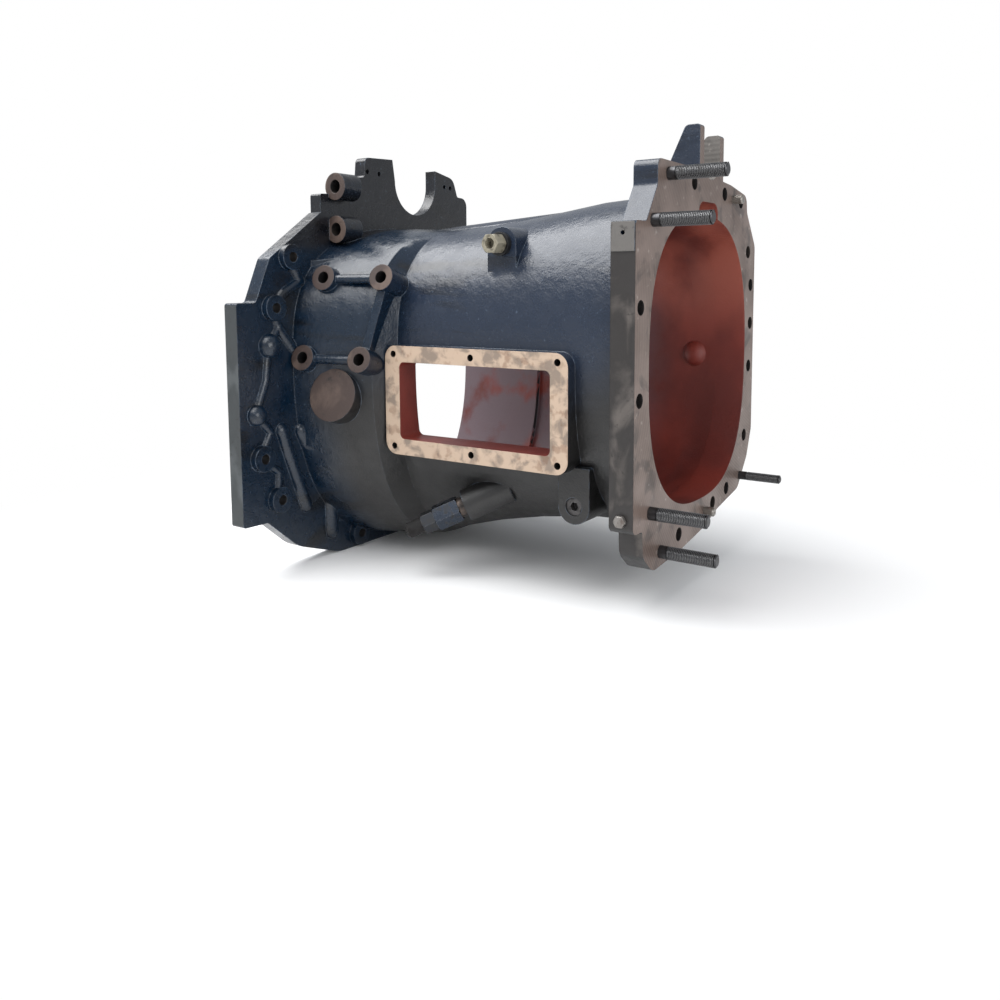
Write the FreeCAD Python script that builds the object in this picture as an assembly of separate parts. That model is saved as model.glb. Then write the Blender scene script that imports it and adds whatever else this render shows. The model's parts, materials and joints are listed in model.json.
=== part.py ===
"""Front housing of a heavy gearbox: one casting with its studs, dowels, plugs, sensor and hydraulic fitting.

Millimetres. X runs along the shaft line and points to the rear, Z is up, and Y = 0 is the shaft plane.
The origin is the centre of the machined rear face. The near side is -Y, where the side window is.
"""
import FreeCAD
import Part
import math
import os
from collections import namedtuple

V = FreeCAD.Vector
X_AXIS, Y_AXIS, Z_AXIS = V(1, 0, 0), V(0, 1, 0), V(0, 0, 1)

# ---- driving dimensions of the casting ----
LENGTH = 500.0                # engine face to rear face
ENGINE_FLANGE_T = 22.0
REAR_FLANGE_T = 30.0
BARREL_EXPONENT = 2.6         # squareness of the barrel's section: 2 is an ellipse
SECTION_POINTS = 24           # interpolation points round a barrel section

ENGINE_BACK_X = -LENGTH + ENGINE_FLANGE_T

# One section of the barrel: its place along X, and how far it reaches on each side of the shaft line
Section = namedtuple("Section", "x near far top bottom")

BARREL_OUTER = [
    Section(-REAR_FLANGE_T / 2, 177, 177, 205, 204),
    Section(-110, 173, 173, 199, 209),
    Section(-200, 171, 171, 186, 222),
    Section(-275, 171, 172, 177, 238),
    Section(-352, 172, 176, 173, 260),
]
BELL_OUTER = [
    Section(-352, 172, 176, 173, 260),
    Section(-368, 205, 180, 174, 268),
    Section(ENGINE_BACK_X - 5, 240, 200, 178, 280),
]
CAVITY_REAR = [
    Section(-REAR_FLANGE_T - 12, 154, 154, 178, 178),
    Section(-80, 158, 158, 186, 192),
    Section(-200, 157, 157, 172, 207),
    Section(-338, 157, 160, 160, 240),
]
CAVITY_FRONT = [
    Section(-337, 152, 152, 156, 234),
    Section(-374, 188, 157, 157, 246),
    Section(-LENGTH - 1, 206, 178, 160, 250),
]

# Rear opening and the notch over it
OPENING = Section(0, 154, 154, 178, 178)
NOTCH_Y, NOTCH_HALF, NOTCH_TOP = 14.0, 31.0, 195.0

# Corners of the flange outlines, as (Y, Z, corner radius)
REAR_OUTLINE = [
    (-190, -182, 8), (-190, 163, 5), (-164, 163, 6), (-136, 205, 8), (-136, 234, 9), (-50, 233, 30),
    (90, 222, 14), (150, 212, 14), (153, 190, 10), (187, 146, 16), (188, -112, 20), (172, -150, 15),
    (138, -190, 18), (60, -204, 30), (18, -218, 30), (-60, -230, 40), (-138, -236, 24), (-164, -214, 20),
    (-166, -182, 5),
]
ENGINE_OUTLINE = [
    (-330, -214, 4), (-330, 73, 4), (-299, 73, 6), (-274, 130, 12), (-181, 194, 5), (150, 186, 14),
    (206, 140, 40), (226, 50, 70), (222, -160, 80), (152, -286, 60), (-160, -286, 60), (-238, -259, 60),
    (-290, -215, 6),
]
PLATE_OUTLINE = [
    (-181, 120, 0), (-181, 219, 4), (-149, 221, 4), (-146, 245, 6), (-93, 248, 5), (-90, 277, 8),
    (20, 282, 0), (117, 264, 18), (128, 236, 5), (153, 235, 14), (153, 184, 10), (112, 184, 6), (104, 120, 0),
]
PLATE_T = 19.0

# Shaft saddle: a U cut-out in the front plate and a machined saddle on the rear flange share one line
SADDLE_Y, SADDLE_Z = 22.0, 249.0
PLATE_CUT_R = 48.0
SADDLE_R = 26.0
CHEEK_T = 13.0
NEAR_CHEEK_TOP, FAR_CHEEK_TOP = 287.0, 281.0
CHEEK_LENGTH = 60.0
CHEEK_SLOPE = 41.0            # how far the cheek's front edge leans back on its way up
SADDLE_FOOT = 50.0            # how far the lug reaches down from the saddle line

# Side window and its cover face
PAD_FACE = 190.0              # distance of the cover face from the shaft plane
PAD_X0, PAD_X1 = -358.0, -83.0
PAD_Z0, PAD_Z1 = -125.0, 17.0
PAD_R = 17.0
WINDOW_RIM = 24.0             # width of the cover face round the window
WINDOW_TOP_RIM = 21.0
WINDOW_R = 7.0
PAD_DEPTH = 40.0
COVER_HOLE_D = 8.6
COVER_HOLE_DEPTH = 24.0
COVER_HOLE_INSET = 14.0

# Bracket bosses on the near side of the bell
BRACKET_OD, BRACKET_HOLE_D, BRACKET_HOLE_DEPTH = 34.0, 16.0, 30.0
BRACKET_TILT = 15.0           # the bracket face looks this much upwards
BRACKET_YAW = 10.0            # and this much to the rear
BRACKET_BOSSES = [(-441, -216, 105), (-354, -200, 105), (-458, -241, 0), (-371, -226, 0)]
BRACKET_BAR_D = 12.0
BLANK_D, BLANK_H = 70.0, 7.0
BLANK_AT = (-417, -223, -50)

# Bosses of the front plate and holes of its ears
PLATE_BOSS_OD, PLATE_BOSS_HOLE_D, PLATE_BOSS_L, PLATE_BOSS_HOLE_DEPTH = 37.0, 18.0, 34.0, 28.0
PLATE_BOSS_FACE = 165.0       # distance of the ring faces from the shaft plane
PLATE_BOSS_AXIS = 12.5        # how far their axis lies behind the back face of the flange
PLATE_BOSSES = [229, 171]     # heights
EAR_HOLE_D = 7.0
EAR_HOLES = [(-86, 257), (-61, 256), (94, 250), (109, 249)]

# Engine flange bolts
ENGINE_HOLE_D, ENGINE_BOSS_R, ENGINE_BOSS_H = 13.5, 17.0, 9.0
ENGINE_HOLES = [
    (-241, 132), (-272, 66), (-298, -128), (-271, -187), (-122, -266), (140, -240), (198, -150), (208, -30),
    (206, 90),
]
DOME_BOSSES = [(-280, 17, 16), (-304, -71, 14)]
# Round-backed ridges on the back of the engine flange, each a path of (Y, Z) with its own diameter
FLANGE_RIDGES = [
    (15, [(-241, 132), (-222, 100), (-252, 84), (-272, 66)]),
    (13, [(-272, 66), (-262, 40), (-280, 17), (-286, -28), (-304, -71)]),
    (13, [(-304, -71), (-280, -96), (-298, -128), (-268, -150), (-271, -187)]),
    (20, [(-262, -96), (-250, -130), (-222, -205)]),
    (22, [(-228, -100), (-204, -150), (-176, -198), (-175, -252)]),
    (16, [(-236, 10), (-262, 40)]),
]
RIDGE_SUNK = 2.0              # how far a ridge's centre line lies under the flange's back face

# Shelf over the bracket bosses, running out on the barrel
SHELF_CORNERS = [(-485, -206), (-342, -112), (-342, -90), (-485, -90)]
SHELF_Z, SHELF_T, SHELF_RISE = 116.0, 11.0, 16.0

# Domed boss on the far wall inside
INNER_DOME_X, INNER_DOME_Z, INNER_DOME_R, INNER_DOME_SUNK = -74.0, -6.0, 20.0, 8.0

# Rear flange holes and fittings
REAR_HOLE_D = 17.0
REAR_HOLES = [
    (-176, 69), (-177, -33), (-64, -209), (94, -182), (45, -192), (159, -118), (171, -21), (174, 39),
    (173, 92), (160, 137), (68, 209), (-32, 215), (128, 203),
]
STUD_D, STUD_CORE_D, STUD_PROUD, STUD_SEATED = 16.0, 14.0, 70.0, 24.0
STUDS = [(-107, 219), (-147, 165), (-147, -165), (-118, -217)]
SMALL_STUD_D, SMALL_STUD_CORE_D, SMALL_STUD_PROUD, SMALL_STUD_SEATED = 12.0, 10.2, 58.0, 20.0
SMALL_STUD_AT = (144, -173)
DOWEL_D, DOWEL_ROOT_D, DOWEL_PROUD, DOWEL_SEATED = 12.0, 10.0, 14.0, 18.0
DOWELS = [(98, 204), (17, -197)]
END_CHAMFER = 1.5
NECK_L = 2.5                  # undercut of studs and dowels just over the rear face

# Small plug in the edge of the rear flange, and the machined tab over it
REAR_EDGE_Y = -190.0
TAB_Z0, TAB_Z1, TAB_PROUD = 130.0, 162.0, 1.2
TAB_HOLE_D = 5.0
EDGE_PLUG_Z = -167.0
EDGE_PLUG_D, EDGE_PLUG_HEAD, EDGE_PLUG_H, EDGE_PLUG_SEATED = 10.0, 13.0, 6.0, 12.0

# Sensor boss on the upper near side of the barrel
SENSOR_X, SENSOR_Z = -199.0, 144.0
SENSOR_FACE = 152.0
SENSOR_BOSS_R, SENSOR_BOSS_FOOT = 21.0, 111.0
SENSOR_BORE_D, SENSOR_BORE_DEPTH = 18.0, 22.0
SENSOR_COLLAR_D, SENSOR_COLLAR_H = 29.0, 7.0
SENSOR_BODY_D, SENSOR_BODY_L = 17.0, 26.0
SENSOR_HEX = 22.0

# Socket plug in the lug under the cover face
LUG_X, LUG_Z, LUG_R = -89.0, -166.0, 21.0
LUG_FACE = 166.0
SOCKET_PLUG_D, SOCKET_PLUG_DEPTH, SOCKET_HEX, SOCKET_DEPTH = 22.0, 16.0, 10.0, 9.0
SOCKET_PLUG_SUNK = 2.0

# Hydraulic fitting on the lower near side
PORT_AT = (-258, -150, -190)
PORT_DIRECTION = (-67, -44, -36)
PORT_BOSS_R, PORT_BOSS_L = 21.0, 62.0
PORT_BORE_D, PORT_BORE_DEPTH = 16.0, 20.0
ADAPTER_COLLAR_D, ADAPTER_COLLAR_L = 26.0, 9.0
ADAPTER_HEX, ADAPTER_HEX_L = 30.0, 34.0
NUT_HEX, NUT_L = 25.0, 18.0
CAP_D, CAP_L = 20.0, 24.0
JOINT_STEP = 1.5              # small chamfers of the fitting's parts

SEAT_GAP = 0.1                # radial clearance of a screwed-in part


# ---- small construction helpers ----
def section_wire(section):
    """Closed smooth wire of one barrel section, a superellipse with its own reach on each side."""
    power = 2.0 / BARREL_EXPONENT
    points = []
    for i in range(SECTION_POINTS):
        angle = 2 * math.pi * i / SECTION_POINTS
        c, s = math.cos(angle), math.sin(angle)
        reach_y = section.far if c > 0 else section.near
        reach_z = section.top if s > 0 else section.bottom
        y = math.copysign(reach_y * abs(c) ** power, c)
        z = math.copysign(reach_z * abs(s) ** power, s)
        points.append(V(section.x, y, z))
    curve = Part.BSplineCurve()
    curve.interpolate(Points=points, PeriodicFlag=True)
    return Part.Wire([curve.toShape()])


def loft(sections):
    """Solid through the given barrel sections."""
    return Part.makeLoft([section_wire(s) for s in sections], True, True)


def rounded_wire(corners, place):
    """Closed wire through (u, v, radius) corners, each rounded by a tangent arc; place(u, v) gives the point."""
    entries, exits, middles = [], [], []
    count = len(corners)
    for i, (u, v, radius) in enumerate(corners):
        here = V(u, v, 0)
        before = V(*corners[i - 1][:2], 0) - here
        after = V(*corners[(i + 1) % count][:2], 0) - here
        half = before.getAngle(after) / 2
        before.normalize()
        after.normalize()
        if radius <= 0:
            entries.append(here)
            exits.append(here)
            middles.append(None)
            continue
        setback = radius / math.tan(half)
        bisector = (before + after).normalize()
        entries.append(here + before * setback)
        exits.append(here + after * setback)
        middles.append(here + bisector * (radius / math.sin(half) - radius))
    edges = []
    for i in range(count):
        if middles[i] is not None:
            ends = [place(p.x, p.y) for p in (entries[i], middles[i], exits[i])]
            edges.append(Part.Arc(*ends).toShape())
        following = (i + 1) % count
        edges.append(Part.makeLine(place(exits[i].x, exits[i].y), place(entries[following].x, entries[following].y)))
    return Part.Wire(edges)


def plate_yz(corners, x0, thickness):
    """Flat plate with an outline in the YZ plane, from x0 towards +X."""
    wire = rounded_wire(corners, lambda y, z: V(x0, y, z))
    return Part.Face(wire).extrude(V(thickness, 0, 0))


def block_xz(corners, y0, depth):
    """Block with an outline in the XZ plane, from y0 towards +Y."""
    wire = rounded_wire(corners, lambda x, z: V(x, y0, z))
    return Part.Face(wire).extrude(V(0, depth, 0))


def rod(diameter, start, direction, length):
    """Plain cylinder."""
    return Part.makeCylinder(diameter / 2, length, V(*start), V(*direction))


def pointed_rod(diameter, start, direction, length, chamfer):
    """Cylinder with a chamfered far end, turned as one profile."""
    r = diameter / 2
    profile = [V(0, 0, 0), V(r, 0, 0), V(r, 0, length - chamfer), V(r - chamfer, 0, length), V(0, 0, length)]
    solid = Part.Face(Part.makePolygon(profile + profile[:1])).revolve(V(0, 0, 0), Z_AXIS, 360)
    return aimed(solid, start, direction)


def aimed(solid, start, direction):
    """The solid built along +Z, moved to start and turned to direction."""
    turn = FreeCAD.Rotation(Z_AXIS, V(*direction))
    solid.Placement = FreeCAD.Placement(V(*start), turn)
    return solid


def hexagon(across_flats, length):
    """Hexagonal bar along +Z."""
    radius = across_flats / math.sqrt(3)
    corners = [V(radius * math.cos(math.radians(60 * i)), radius * math.sin(math.radians(60 * i)), 0)
               for i in range(7)]
    return Part.Face(Part.makePolygon(corners)).extrude(V(0, 0, length))


def chamfered_hexagon(across_flats, length, chamfer):
    """Hexagonal bar along +Z with its corners turned off at both ends."""
    corner_r = across_flats / math.sqrt(3)
    profile = [V(0, 0, 0), V(corner_r - chamfer, 0, 0), V(corner_r, 0, chamfer), V(corner_r, 0, length - chamfer),
               V(corner_r - chamfer, 0, length), V(0, 0, length)]
    turned = Part.Face(Part.makePolygon(profile + profile[:1])).revolve(V(0, 0, 0), Z_AXIS, 360)
    return hexagon(across_flats, length).common(turned)


def along(start, direction, distance):
    """Point at a distance from start along direction."""
    unit = V(*direction)
    unit.normalize()
    return V(*start) + unit * distance


def bracket_normal():
    """Outward normal of the bracket face."""
    turn = FreeCAD.Rotation(Z_AXIS, BRACKET_YAW) * FreeCAD.Rotation(X_AXIS, -BRACKET_TILT)
    return turn.multVec(-Y_AXIS)


# ---- the casting ----
def saddle_lug():
    """U-shaped saddle on top of the rear flange with two cheeks, and the cutter for its half-round bore."""
    foot = SADDLE_Z - SADDLE_FOOT
    lug = []
    for side, top in ((-1, NEAR_CHEEK_TOP), (1, FAR_CHEEK_TOP)):
        profile = [(-CHEEK_LENGTH, foot, 0), (-CHEEK_LENGTH + CHEEK_SLOPE, top, 7), (0, top, 4), (0, foot, 0)]
        width = SADDLE_R + CHEEK_T
        lug.append(block_xz(profile, SADDLE_Y if side > 0 else SADDLE_Y - width, width))
    bore = rod(2 * SADDLE_R, (-CHEEK_LENGTH - 1, SADDLE_Y, SADDLE_Z), (1, 0, 0), CHEEK_LENGTH + 2)
    throat = Part.makeBox(CHEEK_LENGTH + 2, 2 * SADDLE_R, NEAR_CHEEK_TOP - SADDLE_Z + 2,
                          V(-CHEEK_LENGTH - 1, SADDLE_Y - SADDLE_R, SADDLE_Z))
    return lug, bore.fuse(throat)


def front_plate():
    """Upper plate of the engine flange with its two ears, bosses and U cut-out."""
    plate = plate_yz(PLATE_OUTLINE, ENGINE_BACK_X - PLATE_T, PLATE_T)
    boss_x = ENGINE_BACK_X + PLATE_BOSS_AXIS
    for z in PLATE_BOSSES:
        plate = plate.fuse(rod(PLATE_BOSS_OD, (boss_x, -PLATE_BOSS_FACE, z), (0, 1, 0), PLATE_BOSS_L))
    cutters = [rod(2 * PLATE_CUT_R, (ENGINE_BACK_X - PLATE_T - 1, SADDLE_Y, SADDLE_Z), (1, 0, 0), PLATE_T + 2)]
    flare = 10.0
    throat = [(SADDLE_Y - PLATE_CUT_R, SADDLE_Z, 0), (SADDLE_Y - PLATE_CUT_R - flare, SADDLE_Z + 60, 0),
              (SADDLE_Y + PLATE_CUT_R, SADDLE_Z + 60, 0), (SADDLE_Y + PLATE_CUT_R, SADDLE_Z, 0)]
    cutters.append(plate_yz(throat, ENGINE_BACK_X - PLATE_T - 1, PLATE_T + 2))
    for z in PLATE_BOSSES:
        mouth = (boss_x, -PLATE_BOSS_FACE - 1, z)
        cutters.append(rod(PLATE_BOSS_HOLE_D, mouth, (0, 1, 0), PLATE_BOSS_HOLE_DEPTH + 1))
    for y, z in EAR_HOLES:
        cutters.append(rod(EAR_HOLE_D, (ENGINE_BACK_X - PLATE_T - 1, y, z), (1, 0, 0), PLATE_T + 2))
    return plate, cutters


def cover_pad():
    """Raised cover face round the side window, and the cutter for the window."""
    outline = [(PAD_X0, PAD_Z0, PAD_R), (PAD_X1, PAD_Z0, PAD_R), (PAD_X1, PAD_Z1, PAD_R), (PAD_X0, PAD_Z1, PAD_R)]
    pad = block_xz(outline, -PAD_FACE, PAD_DEPTH)
    x0, x1 = PAD_X0 + WINDOW_RIM, PAD_X1 - WINDOW_RIM
    z0, z1 = PAD_Z0 + WINDOW_TOP_RIM, PAD_Z1 - WINDOW_TOP_RIM
    hole = [(x0, z0, WINDOW_R), (x1, z0, WINDOW_R), (x1, z1, WINDOW_R), (x0, z1, WINDOW_R)]
    window = block_xz(hole, -PAD_FACE - 1, PAD_DEPTH + 30)
    return pad, window


def cover_holes():
    """Six tapped holes of the cover face: four corners and one in the middle of each long side."""
    x_places = [PAD_X0 + COVER_HOLE_INSET, (PAD_X0 + PAD_X1) / 2, PAD_X1 - COVER_HOLE_INSET]
    z_places = [PAD_Z0 + COVER_HOLE_INSET - 3, PAD_Z1 - COVER_HOLE_INSET + 3]
    return [rod(COVER_HOLE_D, (x, -PAD_FACE - 1, z), (0, 1, 0), COVER_HOLE_DEPTH + 1)
            for x in x_places for z in z_places]


def bracket_bosses():
    """Four ring bosses with the two bars and two ribs that join them, and their blind holes."""
    normal = bracket_normal()
    root = 45.0
    solids, holes = [], []
    for place in BRACKET_BOSSES:
        face = V(*place)
        solids.append(rod(BRACKET_OD, face - normal * root, normal, root))
        holes.append(rod(BRACKET_HOLE_D, face + normal, -normal, BRACKET_HOLE_DEPTH + 1))
    top_front, top_rear, low_front, low_rear = [V(*p) - normal * (BRACKET_BAR_D / 2 + 3) for p in BRACKET_BOSSES]
    for a, b in ((top_front, top_rear), (low_front, low_rear)):
        solids.append(rod(BRACKET_BAR_D, a, b - a, (b - a).Length))
    for a, b in ((top_front, low_front), (top_rear, low_rear)):
        solids.append(rib_between(a, b, normal, 12.0, 34.0))
    return solids, holes


def rib_between(a, b, normal, width, depth):
    """Straight rib from a to b, its crest on that line, reaching down against the normal."""
    side = (b - a).cross(normal)
    side.normalize()
    half = side * (width / 2)
    face = Part.Face(Part.makePolygon([a - half, a + half, b + half, b - half, a - half]))
    return face.extrude(-normal * depth)


def sensor_boss():
    """Arch-topped boss for the sensor and its bore."""
    r = SENSOR_BOSS_R
    corners = [(SENSOR_X - r, SENSOR_BOSS_FOOT, 0), (SENSOR_X + r, SENSOR_BOSS_FOOT, 0),
               (SENSOR_X + r, SENSOR_Z + r, r - 0.5), (SENSOR_X - r, SENSOR_Z + r, r - 0.5)]
    boss = block_xz(corners, -SENSOR_FACE, 70)
    bore = rod(SENSOR_BORE_D, (SENSOR_X, -SENSOR_FACE - 1, SENSOR_Z), (0, 1, 0), SENSOR_BORE_DEPTH + 1)
    return boss, bore


def plug_lug():
    """Round-ended lug under the cover face, and the bore for its socket plug."""
    r = LUG_R
    corners = [(LUG_X - r, LUG_Z - r, r - 0.5), (LUG_X + r, LUG_Z - r, r - 0.5), (LUG_X + r, PAD_Z0 + 6, 0),
               (LUG_X - r, PAD_Z0 + 6, 0)]
    lug = block_xz(corners, -LUG_FACE, 60)
    bore = rod(SOCKET_PLUG_D, (LUG_X, -LUG_FACE - 1, LUG_Z), (0, 1, 0), SOCKET_PLUG_DEPTH + SOCKET_PLUG_SUNK + 1)
    return lug, bore


def port_boss():
    """Inclined boss for the hydraulic fitting, and its bore."""
    boss = rod(2 * PORT_BOSS_R, along(PORT_AT, PORT_DIRECTION, -PORT_BOSS_L), PORT_DIRECTION, PORT_BOSS_L)
    bore = rod(PORT_BORE_D, along(PORT_AT, PORT_DIRECTION, 1), -V(*PORT_DIRECTION), PORT_BORE_DEPTH + 1)
    return boss, bore


def engine_flange_details():
    """Bosses, domes and stiffening ribs on the back of the engine flange, and the bolt holes through it."""
    solids = []
    for y, z in ENGINE_HOLES:
        solids.append(rod(2 * ENGINE_BOSS_R, (ENGINE_BACK_X - 5, y, z), (1, 0, 0), ENGINE_BOSS_H + 5))
    for y, z, radius in DOME_BOSSES:
        solids.append(Part.makeSphere(radius, V(ENGINE_BACK_X, y, z)).common(
            Part.makeBox(40, 80, 80, V(ENGINE_BACK_X - 10, y - 40, z - 40))))
    for diameter, path in FLANGE_RIDGES:
        solids += ridge(diameter, path)
    holes = [rod(ENGINE_HOLE_D, (-LENGTH - 1, y, z), (1, 0, 0), ENGINE_FLANGE_T + ENGINE_BOSS_H + 2)
             for y, z in ENGINE_HOLES]
    return solids, holes


def ridge(diameter, path):
    """Round-backed ridge along a path on the back face of the engine flange, with rounded corners."""
    x = ENGINE_BACK_X - RIDGE_SUNK
    pieces = [Part.makeSphere(diameter / 2, V(x, y, z)) for y, z in path]
    for (y0, z0), (y1, z1) in zip(path, path[1:]):
        a, b = V(x, y0, z0), V(x, y1, z1)
        pieces.append(rod(diameter, a, b - a, (b - a).Length))
    return pieces


def shoulder_shelf():
    """Sloping shelf over the bracket bosses, from the engine flange to the barrel."""
    def corner(x, y, lift):
        rise = SHELF_RISE * (x - SHELF_CORNERS[0][0]) / (SHELF_CORNERS[1][0] - SHELF_CORNERS[0][0])
        return V(x, y, SHELF_Z + rise + lift)
    points = [corner(x, y, 0) for x, y in SHELF_CORNERS]
    face = Part.Face(Part.makePolygon(points + points[:1]))
    return face.extrude(V(0, 0, SHELF_T))


def spine():
    """Oil gallery cast along the top of the barrel, beside the shaft plane."""
    front = (ENGINE_BACK_X - 2, -38, 146)
    rear = (-REAR_FLANGE_T / 2, -38, 178)
    axis = V(*rear) - V(*front)
    return rod(42, front, axis, axis.Length)


def housing():
    """The casting with all machined faces, holes and bores."""
    solids = [loft(BARREL_OUTER), loft(BELL_OUTER), spine()]
    solids.append(plate_yz(REAR_OUTLINE, -REAR_FLANGE_T, REAR_FLANGE_T))
    solids.append(plate_yz(ENGINE_OUTLINE, -LENGTH, ENGINE_FLANGE_T))
    plate, plate_cutters = front_plate()
    lug, saddle = saddle_lug()
    pad, window = cover_pad()
    bosses, bracket_holes = bracket_bosses()
    sensor, sensor_bore = sensor_boss()
    plug, plug_bore = plug_lug()
    port, port_bore = port_boss()
    details, engine_holes = engine_flange_details()
    blank_normal = bracket_normal()
    blank_root = V(*BLANK_AT) - blank_normal * 40
    blank = rod(BLANK_D, blank_root, blank_normal, 40 + BLANK_H)
    tab = Part.makeBox(REAR_FLANGE_T - 2, 6, TAB_Z1 - TAB_Z0, V(-REAR_FLANGE_T + 1, REAR_EDGE_Y - TAB_PROUD, TAB_Z0))
    solids += [plate, pad, sensor, plug, port, blank, tab, shoulder_shelf()] + lug + bosses + details
    body = solids[0].multiFuse(solids[1:])

    cutters = [loft(CAVITY_REAR), loft(CAVITY_FRONT), window, saddle, sensor_bore, plug_bore, port_bore]
    cutters += plate_cutters + cover_holes() + bracket_holes + engine_holes
    opening = section_wire(OPENING)
    opening.translate(V(2, 0, 0))
    cutters.append(Part.Face(opening).extrude(V(-REAR_FLANGE_T - 20, 0, 0)))
    notch = [(NOTCH_Y - NOTCH_HALF, 120, 0), (NOTCH_Y - NOTCH_HALF, NOTCH_TOP, 14),
             (NOTCH_Y + NOTCH_HALF, NOTCH_TOP, 14), (NOTCH_Y + NOTCH_HALF, 120, 0)]
    cutters.append(plate_yz(notch, -REAR_FLANGE_T + 4, REAR_FLANGE_T))
    for y, z in REAR_HOLES:
        cutters.append(rod(REAR_HOLE_D, (-REAR_FLANGE_T - 1, y, z), (1, 0, 0), REAR_FLANGE_T + 2))
    for y, z in STUDS:
        cutters.append(rod(STUD_CORE_D, (-STUD_SEATED, y, z), (1, 0, 0), STUD_SEATED + 1))
    cutters.append(rod(SMALL_STUD_CORE_D, (-SMALL_STUD_SEATED, *SMALL_STUD_AT), (1, 0, 0), SMALL_STUD_SEATED + 1))
    for y, z in DOWELS:
        cutters.append(rod(DOWEL_ROOT_D, (-DOWEL_SEATED, y, z), (1, 0, 0), DOWEL_SEATED + 1))
    mid = -REAR_FLANGE_T / 2
    cutters.append(rod(TAB_HOLE_D, (mid, REAR_EDGE_Y - 10, (TAB_Z0 + TAB_Z1) / 2 + 4), (0, 1, 0), 24))
    cutters.append(rod(EDGE_PLUG_D, (mid, REAR_EDGE_Y - 10, EDGE_PLUG_Z), (0, 1, 0), 10 + EDGE_PLUG_SEATED))
    dome = Part.makeSphere(INNER_DOME_R, V(INNER_DOME_X, CAVITY_REAR[1].far + INNER_DOME_SUNK, INNER_DOME_Z))
    return body.cut(cutters).fuse(dome).removeSplitter().Solids[0]


# ---- the separate fittings ----
def stud(diameter, root_d, proud, seated, y, z):
    """Stud standing on the rear face: chamfered ends, an undercut over the face and a smaller root in its bore."""
    tip = pointed_rod(diameter, (NECK_L, y, z), (1, 0, 0), proud - NECK_L, END_CHAMFER)
    neck = rod(root_d, (0, y, z), (1, 0, 0), NECK_L)
    root = pointed_rod(root_d - 2 * SEAT_GAP, (0, y, z), (-1, 0, 0), seated - SEAT_GAP, END_CHAMFER)
    return tip.fuse([neck, root])


def rear_studs():
    """The four large studs of the rear face."""
    return [stud(STUD_D, STUD_CORE_D, STUD_PROUD, STUD_SEATED, y, z) for y, z in STUDS]


def small_stud():
    """The one smaller stud of the rear face."""
    return [stud(SMALL_STUD_D, SMALL_STUD_CORE_D, SMALL_STUD_PROUD, SMALL_STUD_SEATED, *SMALL_STUD_AT)]


def dowel_pins():
    """The two shouldered locating dowels of the rear face."""
    return [stud(DOWEL_D, DOWEL_ROOT_D, DOWEL_PROUD, DOWEL_SEATED, y, z) for y, z in DOWELS]


def edge_plug():
    """Small hexagon plug in the near edge of the rear flange."""
    face = (-REAR_FLANGE_T / 2, REAR_EDGE_Y, EDGE_PLUG_Z)
    head = aimed(chamfered_hexagon(EDGE_PLUG_HEAD, EDGE_PLUG_H, JOINT_STEP), face, (0, -1, 0))
    shank = rod(EDGE_PLUG_D - 2 * SEAT_GAP, face, (0, 1, 0), EDGE_PLUG_SEATED - SEAT_GAP)
    return head.fuse(shank)


def socket_plug():
    """Round plug with a hexagon socket, screwed into its lug."""
    face = (LUG_X, -LUG_FACE + SOCKET_PLUG_SUNK, LUG_Z)
    body = rod(SOCKET_PLUG_D - 2 * SEAT_GAP, face, (0, 1, 0), SOCKET_PLUG_DEPTH - SEAT_GAP)
    socket = aimed(hexagon(SOCKET_HEX, SOCKET_DEPTH), face, (0, 1, 0))
    return body.cut(socket)


def sensor_collar():
    """Dark locking ring that clamps the sensor on its boss."""
    face = (SENSOR_X, -SENSOR_FACE, SENSOR_Z)
    ring = rod(SENSOR_COLLAR_D, face, (0, -1, 0), SENSOR_COLLAR_H)
    return ring.cut(rod(SENSOR_BODY_D + 2 * SEAT_GAP, face, (0, -1, 0), SENSOR_COLLAR_H))


def sensor_body():
    """Pale plastic sensor: a probe in the bore, a round body through the ring and a hexagonal socket."""
    face = V(SENSOR_X, -SENSOR_FACE, SENSOR_Z)
    probe = rod(SENSOR_BORE_D - 2 * SEAT_GAP, face, (0, 1, 0), SENSOR_BORE_DEPTH - 4)
    neck = rod(SENSOR_BODY_D, face, (0, -1, 0), SENSOR_COLLAR_H + 2)
    head_at = face - V(0, SENSOR_COLLAR_H + SEAT_GAP, 0)
    head = aimed(chamfered_hexagon(SENSOR_HEX, SENSOR_BODY_L - SENSOR_COLLAR_H, JOINT_STEP), head_at, (0, -1, 0))
    socket = rod(SENSOR_BODY_D - 4, along(face, (0, -1, 0), SENSOR_BODY_L + 1), (0, 1, 0), 12)
    return probe.fuse([neck, head]).cut(socket)


def port_collar():
    """Round collar and thread of the fitting, seated on the inclined boss."""
    collar = rod(ADAPTER_COLLAR_D, PORT_AT, PORT_DIRECTION, ADAPTER_COLLAR_L)
    thread = rod(PORT_BORE_D - 2 * SEAT_GAP, PORT_AT, -V(*PORT_DIRECTION), PORT_BORE_DEPTH - 2)
    return collar.fuse(thread)


def port_adapter():
    """Long hexagon body of the fitting."""
    start = along(PORT_AT, PORT_DIRECTION, ADAPTER_COLLAR_L)
    return aimed(chamfered_hexagon(ADAPTER_HEX, ADAPTER_HEX_L, JOINT_STEP), start, PORT_DIRECTION)


def port_nut():
    """Smaller hexagon nut beyond the body of the fitting."""
    start = along(PORT_AT, PORT_DIRECTION, ADAPTER_COLLAR_L + ADAPTER_HEX_L)
    return aimed(chamfered_hexagon(NUT_HEX, NUT_L, JOINT_STEP), start, PORT_DIRECTION)


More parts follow.
